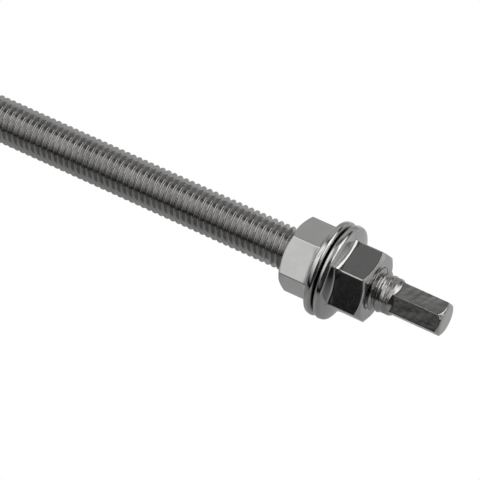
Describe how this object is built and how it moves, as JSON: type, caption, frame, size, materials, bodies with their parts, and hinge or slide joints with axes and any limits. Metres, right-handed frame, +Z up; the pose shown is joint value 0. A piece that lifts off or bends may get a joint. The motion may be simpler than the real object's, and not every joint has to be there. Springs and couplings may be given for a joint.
{
  "type": "solar hanger bolt",
  "caption": "Solar hanger bolt: a machine-threaded rod with a hex drive, clamping flange nuts, a roof seal with its own nut, and a wood thread that ends in a point.",
  "frame": {"origin": "below the middle of the bolt's length, on the plane that the rims of the nut flanges and the seal's lip rest on", "axes": "+X along the bolt's axis towards the hex drive, with the point at -X; +Z up; the bolt's axis is 10.9 mm above the origin"},
  "size_m": [0.25, 0.022, 0.0219],
  "materials": {
    "bolt_steel": "rolled stainless steel, satin",
    "nut_steel": "stainless steel, smooth and bright",
    "seal_rubber": "moulded rubber, matt"
  },
  "bodies": {
    "bolt": {"hanger_bolt": "bolt_steel"},
    "upper_nut": {"upper_flange_nut": "nut_steel"},
    "lower_nut": {"lower_flange_nut": "nut_steel"},
    "seal": {"epdm_seal": "seal_rubber"},
    "seal_nut": {"seal_flange_nut": "nut_steel"}
  },
  "joints": [
    {"name": "upper_nut_travel", "type": "slide", "parent": "bolt", "child": "upper_nut", "axis": [1, 0, 0], "range_m": [0, 0.012]},
    {"name": "lower_nut_travel", "type": "slide", "parent": "bolt", "child": "lower_nut", "axis": [1, 0, 0], "range_m": [-0.066, 0]},
    {"name": "seal_travel", "type": "slide", "parent": "bolt", "child": "seal", "axis": [1, 0, 0], "range_m": [-0.009, 0.015]},
    {"name": "seal_nut_turn", "type": "hinge", "parent": "seal", "child": "seal_nut", "pos_m": [-0.004, 0, 0.0109], "axis": [1, 0, 0], "range_deg": [-2160, 3600]}
  ],
  "couplings": [
    {"joint": "seal_travel", "follows": "seal_nut_turn", "m_per_rad": 0.00023873}
  ]
}
